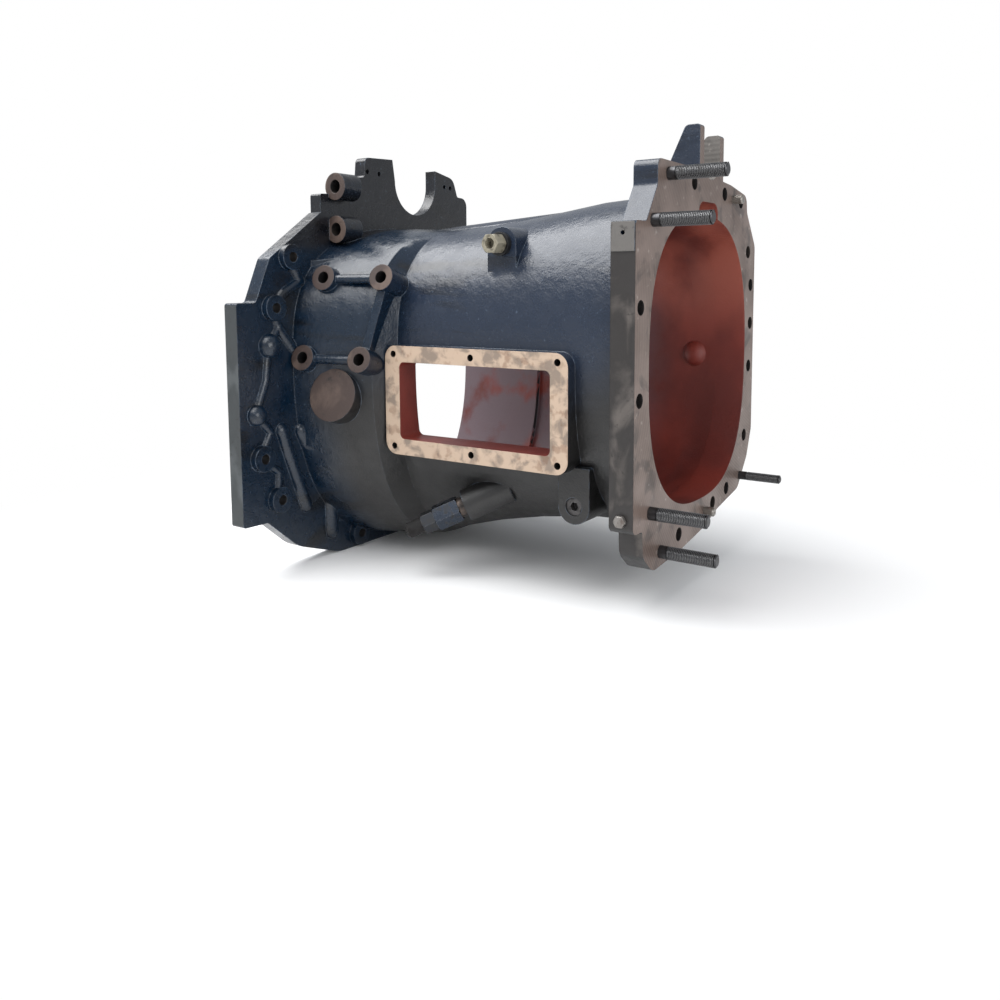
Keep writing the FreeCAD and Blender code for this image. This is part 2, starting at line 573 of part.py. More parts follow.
def port_cap():
    """Rough round cap on the end of the fitting."""
    start = along(PORT_AT, PORT_DIRECTION, ADAPTER_COLLAR_L + ADAPTER_HEX_L + NUT_L)
    return pointed_rod(CAP_D, start, PORT_DIRECTION, CAP_L, 2 * JOINT_STEP)


def write(name, shape):
    """Write one sub-part and say how large it is."""
    if isinstance(shape, list):
        shape = Part.makeCompound(shape)
    print(f"{name}: {len(shape.Solids)} solids, {shape.Volume:.0f} mm3, valid {shape.isValid()}")
    shape.exportStep(f"parts/{name}.step")


if __name__ == "__main__":
    os.makedirs("parts", exist_ok=True)
    write("housing", housing())
    write("rear_studs", rear_studs())
    write("small_stud", small_stud())
    write("dowel_pins", dowel_pins())
    write("edge_plug", edge_plug())
    write("socket_plug", socket_plug())
    write("sensor_collar", sensor_collar())
    write("sensor_body", sensor_body())
    write("port_collar", port_collar())
    write("port_adapter", port_adapter())
    write("port_nut", port_nut())
    write("port_cap", port_cap())
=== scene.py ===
"""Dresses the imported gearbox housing: cast paint, machined faces, red-lead interior, threads and fittings.

Lengths are in metres. The frame's origin is the centre of the machined rear face. X runs to the rear along
the shaft line, Z is up, and the side with the window looks to -Y.
"""

import json
import logging
import math
from dataclasses import dataclass, field
from enum import Enum
from typing import Callable, Sequence

import bmesh
import bpy
from mathutils import Matrix, Vector

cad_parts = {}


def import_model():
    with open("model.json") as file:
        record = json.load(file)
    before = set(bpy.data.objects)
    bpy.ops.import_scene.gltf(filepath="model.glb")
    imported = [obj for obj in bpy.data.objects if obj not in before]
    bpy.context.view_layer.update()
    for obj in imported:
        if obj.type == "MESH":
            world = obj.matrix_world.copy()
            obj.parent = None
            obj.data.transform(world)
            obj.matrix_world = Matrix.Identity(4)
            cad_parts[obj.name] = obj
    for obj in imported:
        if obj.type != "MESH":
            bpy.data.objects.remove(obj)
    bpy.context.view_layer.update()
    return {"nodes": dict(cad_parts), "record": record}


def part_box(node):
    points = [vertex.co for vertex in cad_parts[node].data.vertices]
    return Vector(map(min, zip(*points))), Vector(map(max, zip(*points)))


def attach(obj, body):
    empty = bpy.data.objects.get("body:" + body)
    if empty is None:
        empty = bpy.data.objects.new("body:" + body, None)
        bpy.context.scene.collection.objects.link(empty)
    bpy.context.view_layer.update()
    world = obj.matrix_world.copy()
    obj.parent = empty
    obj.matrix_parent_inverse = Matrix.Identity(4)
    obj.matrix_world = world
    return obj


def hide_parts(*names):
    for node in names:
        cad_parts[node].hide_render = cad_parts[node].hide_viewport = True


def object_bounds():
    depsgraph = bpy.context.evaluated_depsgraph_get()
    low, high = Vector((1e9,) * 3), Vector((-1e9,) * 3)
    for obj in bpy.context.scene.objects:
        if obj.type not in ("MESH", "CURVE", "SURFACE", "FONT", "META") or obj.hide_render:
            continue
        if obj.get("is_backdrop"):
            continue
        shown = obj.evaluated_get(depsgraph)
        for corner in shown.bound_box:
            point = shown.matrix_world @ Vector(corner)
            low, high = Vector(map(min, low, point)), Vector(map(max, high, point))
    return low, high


LOG = logging.getLogger("gearbox_housing")
MM = 0.001
PIECE_CREASE = 32  # degrees over which an edge of a threaded piece is sharp

Colour = tuple[float, float, float, float]


def tone(red: int, green: int, blue: int) -> Colour:
    """Linear colour of an 8-bit screen colour.

    Args:
        red: Red, 0 to 255.
        green: Green, 0 to 255.
        blue: Blue, 0 to 255.

    Returns:
        The linear colour with full alpha.
    """
    def linear(part: int) -> float:
        """Linear share of one 8-bit channel."""
        share = part / 255
        return share / 12.92 if share <= 0.04045 else ((share + 0.055) / 1.055) ** 2.4
    return (linear(red), linear(green), linear(blue), 1.0)


# ---------------------------------------------------------------- shader building
class Level:
    """A number socket that takes Python operators and adds the Math nodes for them."""

    def __init__(self, graph: "Graph", socket: bpy.types.NodeSocket) -> None:
        """Keeps the graph and the socket."""
        self.graph = graph
        self.socket = socket

    def _maths(self, operation: str, *values: "Level | float") -> "Level":
        """One Math node on the given values."""
        made = self.graph.add("ShaderNodeMath", {"operation": operation}, dict(enumerate(values)))
        return Level(self.graph, made.outputs[0])

    def __add__(self, other: "Level | float") -> "Level":
        """Sum."""
        return self._maths("ADD", self, other)

    def __radd__(self, other: float) -> "Level":
        """Sum, number first."""
        return self._maths("ADD", other, self)

    def __sub__(self, other: "Level | float") -> "Level":
        """Difference."""
        return self._maths("SUBTRACT", self, other)

    def __rsub__(self, other: float) -> "Level":
        """Difference, number first."""
        return self._maths("SUBTRACT", other, self)

    def __mul__(self, other: "Level | float") -> "Level":
        """Product."""
        return self._maths("MULTIPLY", self, other)

    def __rmul__(self, other: float) -> "Level":
        """Product, number first."""
        return self._maths("MULTIPLY", other, self)

    def __pow__(self, other: float) -> "Level":
        """Power."""
        return self._maths("POWER", self, other)

    def wave(self) -> "Level":
        """Sine, moved to run from 0 to 1."""
        return self._maths("SINE", self) * 0.5 + 0.5

    def most(self, other: "Level | float") -> "Level":
        """The larger of two values."""
        return self._maths("MAXIMUM", self, other)

    def least(self, other: "Level | float") -> "Level":
        """The smaller of two values."""
        return self._maths("MINIMUM", self, other)

    def step(self, low: float, high: float) -> "Level":
        """Smooth step from 0 at low to 1 at high; it falls where low is the larger.

        Args:
            low: Value at which the step begins.
            high: Value at which it ends.

        Returns:
            The step, held between 0 and 1.
        """
        made = self.graph.add("ShaderNodeMapRange", {"interpolation_type": "SMOOTHSTEP"},
                              {"Value": self, "From Min": min(low, high), "From Max": max(low, high)})
        rising = Level(self.graph, made.outputs[0])
        return rising if low < high else 1 - rising


class Graph:
    """The node tree of one material."""

    def __init__(self, name: str) -> None:
        """Makes an empty material of that name."""
        self.material = bpy.data.materials.new(name)
        self.material.use_nodes = True
        self.tree = self.material.node_tree
        self.tree.nodes.clear()

    def add(self, kind: str, settings: dict | None = None, values: dict | None = None) -> bpy.types.Node:
        """Adds one node.

        Args:
            kind: Node type.
            settings: Properties of the node, set first.
            values: Values or links of its input sockets, by name or number.

        Returns:
            The node.
        """
        made = self.tree.nodes.new(kind)
        for key, value in (settings or {}).items():
            setattr(made, key, value)
        for key, value in (values or {}).items():
            socket = made.inputs[key]
            if isinstance(value, Level):
                value = value.socket
            if isinstance(value, bpy.types.NodeSocket):
                self.tree.links.new(value, socket)
            else:
                socket.default_value = value
        return made

    def position(self, scale: Sequence[float] = (1, 1, 1)) -> bpy.types.NodeSocket:
        """Object coordinates, stretched by a Mapping node.

        Args:
            scale: Factor on each axis.

        Returns:
            The vector socket.
        """
        place = self.add("ShaderNodeTexCoord").outputs["Object"]
        return self.add("ShaderNodeMapping", None, {"Vector": place, "Scale": scale}).outputs[0]

    def axes(self) -> tuple[Level, Level, Level]:
        """Object coordinates as three numbers, in metres."""
        parts = self.add("ShaderNodeSeparateXYZ", None, {"Vector": self.position()}).outputs
        return Level(self, parts[0]), Level(self, parts[1]), Level(self, parts[2])

    def noise(self, scale: float, detail: float = 3.0, stretch: Sequence[float] = (1, 1, 1),
              distortion: float = 0.0) -> Level:
        """Noise on Object coordinates, 0 to 1.

        Args:
            scale: Cells per metre.
            detail: Octaves.
            stretch: Factor on each axis.
            distortion: How much the cells are bent.

        Returns:
            The noise.
        """
        made = self.add("ShaderNodeTexNoise", None, {"Vector": self.position(stretch), "Scale": scale,
                                                     "Detail": detail, "Distortion": distortion})
        return Level(self, made.outputs[0])

    def blend(self, share: Level, first: "Colour | bpy.types.NodeSocket",
              second: "Colour | bpy.types.NodeSocket") -> bpy.types.NodeSocket:
        """Mix of two colours.

        Args:
            share: 0 gives the first colour and 1 the second.
            first: A colour or a colour socket.
            second: A colour or a colour socket.

        Returns:
            The colour socket.
        """
        made = self.add("ShaderNodeMix", {"data_type": "RGBA"}, {0: share, 6: first, 7: second})
        return made.outputs[2]

    def rounded(self, radius: float) -> bpy.types.NodeSocket:
        """Normal that runs smoothly round each edge within a radius."""
        return self.add("ShaderNodeBevel", {"samples": 6}, {"Radius": radius}).outputs[0]

    def edge(self, radius: float) -> Level:
        """How near an edge the surface is, 0 on a flat and rising to about 1 on a sharp edge."""
        normal = self.add("ShaderNodeNewGeometry").outputs["Normal"]
        dot = self.add("ShaderNodeVectorMath", {"operation": "DOT_PRODUCT"},
                       {0: self.rounded(radius), 1: normal})
        return (1 - Level(self, dot.outputs["Value"])).step(0.02, 0.3)

    def bump(self, height: Level, strength: float, depth: float,
             under: bpy.types.NodeSocket | None = None) -> bpy.types.NodeSocket:
        """Bump from a height between 0 and 1.

        Args:
            height: The height.
            strength: Share of the effect.
            depth: Height of 1, in metres.
            under: Normal that the bump stands on.

        Returns:
            The normal socket.
        """
        values = {"Height": height, "Strength": strength, "Distance": depth}
        if under is not None:
            values["Normal"] = under
        return self.add("ShaderNodeBump", None, values).outputs[0]

    def close(self, **sockets: object) -> bpy.types.Material:
        """Adds the surface shader and the output.

        Args:
            **sockets: Values or links of the shader, with spaces in their names as underscores.

        Returns:
            The finished material.
        """
        values = {name.replace("_", " "): value for name, value in sockets.items()}
        shader = self.add("ShaderNodeBsdfPrincipled", None, values)
        self.add("ShaderNodeOutputMaterial", None, {"Surface": shader.outputs[0]})
        return self.material


# ---------------------------------------------------------------- finishes
@dataclass(frozen=True)
class CastPaint:
    """Dark blue paint on rough iron: bluest on the bell, grey on the barrel, darker, browner and duller low
    on the barrel, with painted highlight in pale flecks and on worn edges.
    """

    flange: Colour = tone(6, 25, 42)
    barrel: Colour = tone(28, 38, 54)
    # Colour of the lower barrel, darker and browner than the paint above it.
    under: Colour = tone(27, 26, 26)
    plate: Colour = tone(17, 19, 25)
    oil: Colour = tone(12, 12, 13)
    # Pale blue-grey of lit paint: painted highlight in the flecks and on the edges, and the colour of worn
    # paint on the edges.
    worn: Colour = tone(96, 112, 130)
    grain: float = 0.00022
    edge_radius: float = 0.0016

    def material(self) -> bpy.types.Material:
        """Builds the paint."""
        graph = Graph("cast_paint")
        x, _, z = graph.axes()
        cloud = graph.noise(9, 4)
        streak = graph.noise(14, 4, (0.35, 1, 2.2), 0.4)
        front = (x + (cloud - 0.5) * 0.06).step(-0.33, -0.375)
        # Mask of the lower barrel: it takes the darker, browner colour and more roughness.
        low = (z + (cloud - 0.5) * 0.09).step(0.02, -0.07) * x.step(-0.46, -0.40)
        base = graph.blend(front, self.barrel, self.flange)
        base = graph.blend(low, base, self.under)
        on_plate = (z + (cloud - 0.5) * 0.03).step(0.135, 0.155) * x.step(-0.440, -0.452)
        base = graph.blend(on_plate, base, self.plate)
        grime = streak.step(0.52, 0.70) * 0.75
        base = graph.blend(grime, base, self.oil)
        # Pale flecks of painted highlight on the paint's grain, kept off the lower barrel.
        highlight_fleck = graph.noise(260, 2).step(0.66, 0.8) * (1 - low) * 0.35
        base = graph.blend(highlight_fleck, base, self.worn)
        # Lighter edges: worn paint and painted highlight on the edges.
        edge = graph.edge(0.0022) * graph.noise(70, 3).step(0.42, 0.62)
        base = graph.blend(edge * 0.7, base, self.worn)
        rough = 0.27 + low * 0.18 - grime * 0.05 + (graph.noise(55, 4) - 0.5) * 0.3
        height = graph.noise(420, 3) * 0.6 + graph.noise(120, 3) * 0.8 + graph.noise(30, 2) * 1.4
        normal = graph.bump(height, 0.8, self.grain * 3, graph.rounded(self.edge_radius))
        return graph.close(Base_Color=base, Roughness=rough.most(0.12), Normal=normal, Metallic=0.0,
                           Specular_IOR_Level=0.6)


@dataclass(frozen=True)
class MachinedFace:
    """Milled iron face with the cutter's arcs, handling marks and dark smudges."""

    name: str
    base: Colour
    dark: Colour
    sweep_y: float = 0.25
    sweep_z: float = 0.06
    pitch: float = 0.0042

    def material(self) -> bpy.types.Material:
        """Builds the milled face."""
        graph = Graph(self.name)
        _, y, z = graph.axes()
        reach = ((y - self.sweep_y) ** 2 + (z - self.sweep_z) ** 2) ** 0.5
        arcs = (reach * (2 * math.pi / self.pitch)).wave()
        patch = graph.noise(16, 4)
        stain = graph.noise(30, 5, distortion=0.6).step(0.52, 0.68)
        base = graph.blend(stain * 0.6, self.base, self.dark)
        base = graph.blend(arcs * patch.step(0.3, 0.6) * 0.34, base, self.dark)
        base = graph.blend(graph.noise(90, 3).step(0.62, 0.75) * 0.3, base, tone(196, 188, 180))
        rough = 0.42 + (patch - 0.5) * 0.3
        normal = graph.bump(arcs * 0.5 + graph.noise(300, 2), 0.35, 0.00012, graph.rounded(0.0008))
        return graph.close(Base_Color=base, Roughness=rough, Metallic=patch.step(0.3, 0.7) * 0.4,
                           Normal=normal)


@dataclass(frozen=True)
class CoverFace:
    """Pale face of the side window with rust freckles and grey scuffs."""

    base: Colour = tone(178, 156, 136)
    rust: Colour = tone(112, 80, 60)
    grey: Colour = tone(92, 84, 78)

    def material(self) -> bpy.types.Material:
        """Builds the cover face."""
        graph = Graph("cover_face")
        scuff = graph.noise(60, 5, distortion=0.4).step(0.45, 0.64)
        base = graph.blend(scuff * 0.65, self.base, self.grey)
        freckle = graph.noise(80, 5).step(0.52, 0.66) * graph.noise(16, 2).step(0.38, 0.55)
        base = graph.blend(freckle * 0.5, base, self.rust)
        normal = graph.bump(graph.noise(400, 3), 0.3, 0.0002, graph.rounded(0.0008))
        return graph.close(Base_Color=base, Roughness=0.5 + scuff * 0.15, Metallic=0.0, Normal=normal)


@dataclass(frozen=True)
class RedLead:
    """Red-brown primer inside the casting, oily in places, with painted highlight on its upper part."""

    base: Colour = tone(124, 50, 40)
    deep: Colour = tone(92, 36, 30)
    # Colour of the painted highlight on the upper inside.
    painted_highlight: Colour = tone(162, 92, 76)
    dust: Colour = tone(98, 84, 90)

    def material(self) -> bpy.types.Material:
        """Builds the primer."""
        graph = Graph("red_lead")
        x, y, z = graph.axes()
        cloud = graph.noise(8, 4, (1, 1, 0.7))
        base = graph.blend(cloud.step(0.35, 0.65), self.deep, self.base)
        # Upper inside lighter in patches: painted highlight.
        base = graph.blend(z.step(0.0, 0.12) * cloud.step(0.35, 0.6) * 0.6, base, self.painted_highlight)
        dusty = y.step(0.06, 0.14) * x.step(-0.10, -0.20) * graph.noise(20, 4).step(0.25, 0.5)
        base = graph.blend(dusty * 0.95, base, self.dust)
        rough = 0.34 + graph.noise(24, 3) * 0.3
        height = graph.noise(330, 2) + graph.noise(60, 2) * 1.5
        normal = graph.bump(height, 0.7, 0.0004, graph.rounded(0.002))
        return graph.close(Base_Color=base, Roughness=rough, Metallic=0.0, Normal=normal)


@dataclass(frozen=True)
class BareIron:
    """Iron worn bare: grey-brown with pale scuffs and black pits."""

    name: str
    base: Colour
    pale: Colour
    pit: Colour = tone(38, 35, 34)
    metal: float = 0.35

    def material(self) -> bpy.types.Material:
        """Builds the bare iron."""
        graph = Graph(self.name)
        patch = graph.noise(26, 5, (1, 1, 0.6), 0.5)
        base = graph.blend(patch.step(0.48, 0.68), self.base, self.pale)
        pits = graph.noise(170, 4).step(0.58, 0.72) * graph.noise(20, 2).step(0.4, 0.6)
        base = graph.blend(pits * 0.8, base, self.pit)
        rough = 0.5 + (patch - 0.5) * 0.3
        normal = graph.bump(graph.noise(220, 4) + patch, 0.6, 0.0003, graph.rounded(0.0015))
        return graph.close(Base_Color=base, Roughness=rough, Metallic=patch.step(0.4, 0.7) * self.metal,
                           Normal=normal)


@dataclass(frozen=True)
class WorkedSteel:
    """Steel of studs, plugs and fittings: its colour, its gloss and how much rust and oil it has."""

    name: str
    base: Colour
    dirt: Colour
    gloss: float
    dirt_share: float = 0.5
    metal: float = 0.9

    def material(self) -> bpy.types.Material:
        """Builds the steel."""
        graph = Graph(self.name)
        patch = graph.noise(120, 4, distortion=0.5)
        dirt = patch.step(0.62 - 0.3 * self.dirt_share, 0.86 - 0.3 * self.dirt_share)
        base = graph.blend(dirt, self.base, self.dirt)
        # Near-white on the edges and thread crests: painted highlight.
        edge = graph.edge(0.0008)
        base = graph.blend(edge * 0.5, base, tone(196, 196, 196))
        rough = (1 - self.gloss) + dirt * 0.25
        normal = graph.bump(graph.noise(700, 3), 0.35, 0.00008, graph.rounded(0.0006))
        return graph.close(Base_Color=base, Roughness=rough.least(0.9), Metallic=(1 - dirt) * self.metal,
                           Normal=normal)


@dataclass(frozen=True)
class StainedPlastic:
    """Plastic of the sensor with patches of oil stain."""

    name: str
    base: Colour
    stain: Colour
    rough: float

    def material(self) -> bpy.types.Material:
        """Builds the plastic."""
        graph = Graph(self.name)
        stain = graph.noise(140, 4).step(0.45, 0.7)
        base = graph.blend(stain * 0.7, self.base, self.stain)
        normal = graph.bump(graph.noise(500, 2), 0.3, 0.0001, graph.rounded(0.0006))
        return graph.close(Base_Color=base, Roughness=self.rough - stain * 0.1, Metallic=0.0, Normal=normal)


class Zone(Enum):
    """Surfaces of the casting that have a finish of their own, in the order of its material slots."""

    PAINT = 0
    REAR_FACE = 1
    COVER_FACE = 2
    INSIDE = 3
    REAR_EDGE = 4
    ENGINE_EDGE = 5
    RING_FACE = 6
    BORE = 7
    SADDLE = 8
    TAB = 9


# ---------------------------------------------------------------- the casting
@dataclass
class Casting:
    """The iron casting, with each machined face and the inside told apart by place and direction.

    The hollow is a row of sections from the engine to the rear. Each has its place along X, then its reach to
    the near side, the far side, the top and the bottom. Limits of a place are in metres, and those of a
    direction are the cosines of its angle.
    """

    node: str = "housing"
    rim: float = 0.0006
    squareness: float = 2.6
    wall_margin: float = 0.0025
    blank: tuple[Vector, float] = (Vector((-0.4158, -0.2296, -0.0482)), 0.0375)
    cover_x: tuple[float, float] = (-0.359, -0.082)
    cover_z: tuple[float, float] = (-0.126, 0.018)
    flange: float = 0.030
    engine_flange: float = 0.022
    cover_y: float = -0.190
    hollow: tuple[tuple[float, float, float, float, float], ...] = (
        (-0.502, 0.206, 0.178, 0.160, 0.250), (-0.374, 0.188, 0.157, 0.156, 0.246),
        (-0.337, 0.152, 0.152, 0.156, 0.234), (-0.3368, 0.157, 0.160, 0.160, 0.240),
        (-0.200, 0.157, 0.157, 0.172, 0.207),
        (-0.080, 0.158, 0.158, 0.186, 0.192), (0.002, 0.154, 0.154, 0.178, 0.178))
    notch: tuple[float, float, float] = (-0.018, 0.046, 0.197)
    saddle: tuple[float, float] = (0.022, 0.249)
    saddle_r: float = 0.026
    front: float = -0.5
    holes: list[tuple[Vector, Vector, float, float]] = field(default_factory=list)
    rings: list[tuple[Vector, Vector]] = field(default_factory=list)
    cover_holes: list[Vector] = field(default_factory=list)
    cover_hole_r: float = 0.0043
    facing: float = 0.9
    saddle_start: float = -0.062
    saddle_reach: float = 0.05
    edge_depth: float = 0.03
    tab_proud: float = 0.0008
    tab_height: float = 0.1
    cover_hole_depth: float = 0.03
    window_x: tuple[float, float] = (-0.336, -0.105)
    window_z: tuple[float, float] = (-0.106, -0.002)
    window_end: float = -0.1
    notch_start: float = -0.05
    notch_low: float = 0.1
    near_edge: float = -0.32
    ring_reach: float = 0.02
    ring_facing: float = 0.98
    crease: float = 28

    def build(self, record: dict) -> bpy.types.Object:
        """Copies the casting, merges its triangles and gives every face its zone.

        Args:
            record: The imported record.

        Returns:
            The dressed casting.
        """
        self.read_mounts({mount["name"]: mount for mount in record["mounts"]})
        self.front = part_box(self.node)[0].x
        source = bpy.data.objects[self.node]
        bm = bmesh.new()
        bm.from_mesh(source.data)
        bmesh.ops.remove_doubles(bm, verts=bm.verts, dist=0.00001)
        for face in bm.faces:
            face.smooth = True
            face.material_index = self.zone(face.calc_center_median(), face.normal).value
        mesh = bpy.data.meshes.new("housing_casting")
        bm.to_mesh(mesh)
        bm.free()
        if "custom_normal" in mesh.attributes:
            mesh.attributes.remove(mesh.attributes["custom_normal"])
        mesh.set_sharp_from_angle(angle=math.radians(self.crease))
        piece = bpy.data.objects.new("housing_casting", mesh)
        bpy.context.scene.collection.objects.link(piece)
        self.dress(piece)
        even = piece.modifiers.new("even_normals", "WEIGHTED_NORMAL")
        even.keep_sharp = True
        even.weight = 100
        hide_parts(self.node)
        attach(piece, "root")
        return piece

    def read_mounts(self, mounts: dict[str, dict]) -> None:
        """Takes the places of holes and ring bosses from the record.

        Args:
            mounts: The record's mounts by name.
        """
        for name, mount in mounts.items():
            place, axis = Vector(mount["pos_m"]), Vector(mount["axis"])
            if mount["kind"] in ("bore", "threaded_hole"):
                dims = mount["dims"]
                self.holes.append((place, axis, dims["r_mm"] * MM, dims["length_mm"] * MM / 2))
                if name.startswith(("bracket", "plate_boss")):
                    self.rings.append((place + axis * dims["length_mm"] * MM / 2, axis))
        middle = mounts["cover_middle"]
        centre = Vector(middle["pos_m"])
        half_x = mounts["cover_corners"]["dims"]["spacing_x_mm"] * MM / 2
        half_z = middle["dims"]["spacing_y_mm"] * MM / 2
        self.cover_hole_r = middle["dims"]["hole_r_mm"] * MM
        self.cover_holes = [centre + Vector((x, 0, z))
                            for x in (-half_x, 0, half_x) for z in (-half_z, half_z)]

    def zone(self, place: Vector, normal: Vector) -> Zone:
        """Finish of one face.

        Args:
            place: Centre of the face.
            normal: Direction that it looks in.

        Returns:
            The zone.
        """
        looks_near = normal.y < -self.facing
        if abs(place.x) < self.rim and normal.x > self.facing:
            return Zone.REAR_FACE
        if place.x - self.front < self.rim and normal.x < -self.facing:
            return Zone.REAR_FACE
        on_cover = self.cover_x[0] < place.x < self.cover_x[1] and self.cover_z[0] < place.z < self.cover_z[1]
        if on_cover and abs(place.y - self.cover_y) < self.rim and looks_near:
            return Zone.COVER_FACE
        if self.in_hole(place, normal):
            return Zone.BORE
        if self.is_inside(place, normal):
            return Zone.INSIDE
        across = math.hypot(place.y - self.saddle[0], place.z - self.saddle[1])
        between_cheeks = abs(place.y - self.saddle[0]) < self.saddle_r + self.rim
        if place.x > self.saddle_start and across < self.saddle_reach and between_cheeks:
            return Zone.SADDLE
        if -self.flange - self.rim < place.x and looks_near and place.y < self.cover_y + self.edge_depth:
            on_tab = place.y < self.cover_y - self.tab_proud and place.z > self.tab_height
            return Zone.TAB if on_tab else Zone.REAR_EDGE
        if place.x < self.front + self.engine_flange + self.rim and place.y < self.near_edge and looks_near:
            return Zone.ENGINE_EDGE
        for ring, axis in self.rings:
            if (place - ring).length < self.ring_reach and normal.dot(axis) > self.ring_facing:
                return Zone.RING_FACE
        on_blank = (place - self.blank[0]).length < self.blank[1]
        if on_blank and normal.dot(self.rings[0][1]) > self.ring_facing:
            return Zone.RING_FACE
        return Zone.PAINT

    def in_hole(self, place: Vector, normal: Vector) -> bool:
        """Whether a face is the wall or the end of a hole.

        Args:
            place: Centre of the face.
            normal: Direction that it looks in.

        Returns:
            True on a hole's wall or end.
        """
        for hole, axis, radius, half in self.holes:
            offset = place - hole
            along = offset.dot(axis)
            if abs(along) > half + self.rim:
                continue
            across = (offset - axis * along).length
            on_wall = abs(normal.dot(axis)) < self.facing
            if across < radius + self.rim and (on_wall or along < -half + 2 * self.rim):
                return True
        return any(math.hypot(place.x - hole.x, place.z - hole.z) < self.cover_hole_r + self.rim
                   and self.cover_y + self.rim < place.y < hole.y + self.cover_hole_depth
                   for hole in self.cover_holes)

    def is_inside(self, place: Vector, normal: Vector) -> bool:
        """Whether a face looks into the hollow of the casting.

        Args:
            place: Centre of the face.
            normal: Direction that it looks in.

        Returns:
            True inside the barrel, the bell and the window.
        """
        in_window = (self.window_x[0] < place.x < self.window_x[1]
                     and self.window_z[0] < place.z < self.window_z[1])
        through_wall = self.cover_y + self.rim < place.y < self.window_end
        if in_window and through_wall and abs(normal.y) < self.facing:
            return True
        beside_notch = self.notch[0] < place.y < self.notch[1] and place.x > self.notch_start
        if beside_notch and self.notch_low < place.z < self.notch[2]:
            return abs(normal.x) < self.facing
        for rear, front in zip(self.hollow[1:], self.hollow):
            if front[0] <= place.x <= rear[0]:
                share = (place.x - front[0]) / (rear[0] - front[0])
                near, far, top, low = [a + share * (b - a) for a, b in zip(front[1:], rear[1:])]
                reach_y = (far if place.y > 0 else near) + self.wall_margin
                reach_z = (top if place.z > 0 else low) + self.wall_margin
                shares = (abs(place.y) / reach_y, abs(place.z) / reach_z)
                return sum(share ** self.squareness for share in shares) < 1
        return False

    def dress(self, piece: bpy.types.Object) -> None:
        """Gives the casting one material for each zone."""
        finishes = {
            Zone.PAINT: CastPaint(),
            Zone.REAR_FACE: MachinedFace("rear_face", tone(118, 102, 94), tone(44, 39, 37)),
            Zone.COVER_FACE: CoverFace(),
            Zone.INSIDE: RedLead(),
            Zone.REAR_EDGE: BareIron("rear_edge", tone(42, 39, 38), tone(98, 92, 88)),
            Zone.ENGINE_EDGE: BareIron("engine_edge", tone(52, 56, 58), tone(84, 88, 90)),
            Zone.RING_FACE: BareIron("ring_face", tone(62, 50, 46), tone(92, 77, 69), metal=0.1),
            # Hole walls and ends nearly black: painted shade in the holes, over grey-brown bare iron.
            Zone.BORE: BareIron("bore", tone(30, 28, 28), tone(60, 54, 50), metal=0.6),
            Zone.SADDLE: MachinedFace("saddle_bore", tone(108, 104, 100), tone(52, 49, 48)),
            Zone.TAB: BareIron("tab", tone(96, 93, 90), tone(138, 134, 130)),
        }
        for zone in Zone:
            piece.data.materials.append(finishes[zone].material())


# ---------------------------------------------------------------- threads
@dataclass
class Stud:
    """A stud of the rear face with a cut thread: a plain shank, the thread and a chamfered tip."""

    diameter: float
    length: float
    pitch: float
    shank: float
    sides: int = 32
    depth_share: float = 0.61
    shank_share: float = 0.97
    crest_span: tuple[float, float] = (0.42, 0.58)
    chamfer: float = 0.0012

    def add_to(self, bm: bmesh.types.BMesh, y: float, z: float) -> None:
        """Adds the stud to a mesh.

        Args:
            bm: Mesh that takes it.
            y: Place of its axis.
            z: Height of its axis.
        """
        crest = self.diameter / 2
        root = crest - self.depth_share * self.pitch
        centre = Vector((0, y, z))
        turns = int((self.length - self.shank) / self.pitch) - 1
        plain = crest * self.shank_share
        line = [Vector((0, 0, 0)), Vector((0, 0, plain)), Vector((self.shank - self.pitch, 0, plain))]
        self.spun(bm, line, centre, 0.0)
        profile = []
        for turn in range(turns + 1):
            start = self.shank + (turn - 1) * self.pitch
            profile += [Vector((start, 0, root))]
            profile += [Vector((start + share * self.pitch, 0, crest)) for share in self.crest_span]
        self.spun(bm, profile, centre, self.pitch)
        tip_start = self.length - 2 * self.pitch
        tip = [Vector((tip_start, 0, root)), Vector((self.length - self.chamfer, 0, root)),
               Vector((self.length, 0, root - self.chamfer)), Vector((self.length, 0, 0))]
        self.spun(bm, tip, centre, 0.0)
        neck = [Vector((self.shank - 2 * self.pitch, 0, root)), Vector((tip_start + 0.001, 0, root))]
        self.spun(bm, neck, centre, 0.0)

    def spun(self, bm: bmesh.types.BMesh, line: Sequence[Vector], centre: Vector, advance: float) -> None:
        """Turns a line round the stud's axis.

        Args:
            bm: Mesh that takes the surface.
            line: Points of the line from the axis.
            centre: A point of the axis.
            advance: Travel along the axis in one turn.
        """
        verts = [bm.verts.new(centre + point) for point in line]
        edges = [bm.edges.new(pair) for pair in zip(verts, verts[1:])]
        bmesh.ops.spin(bm, geom=verts + edges, cent=centre, axis=(1, 0, 0), angle=2 * math.pi,
                       dvec=(advance / self.sides, 0, 0), steps=self.sides, use_merge=advance == 0)


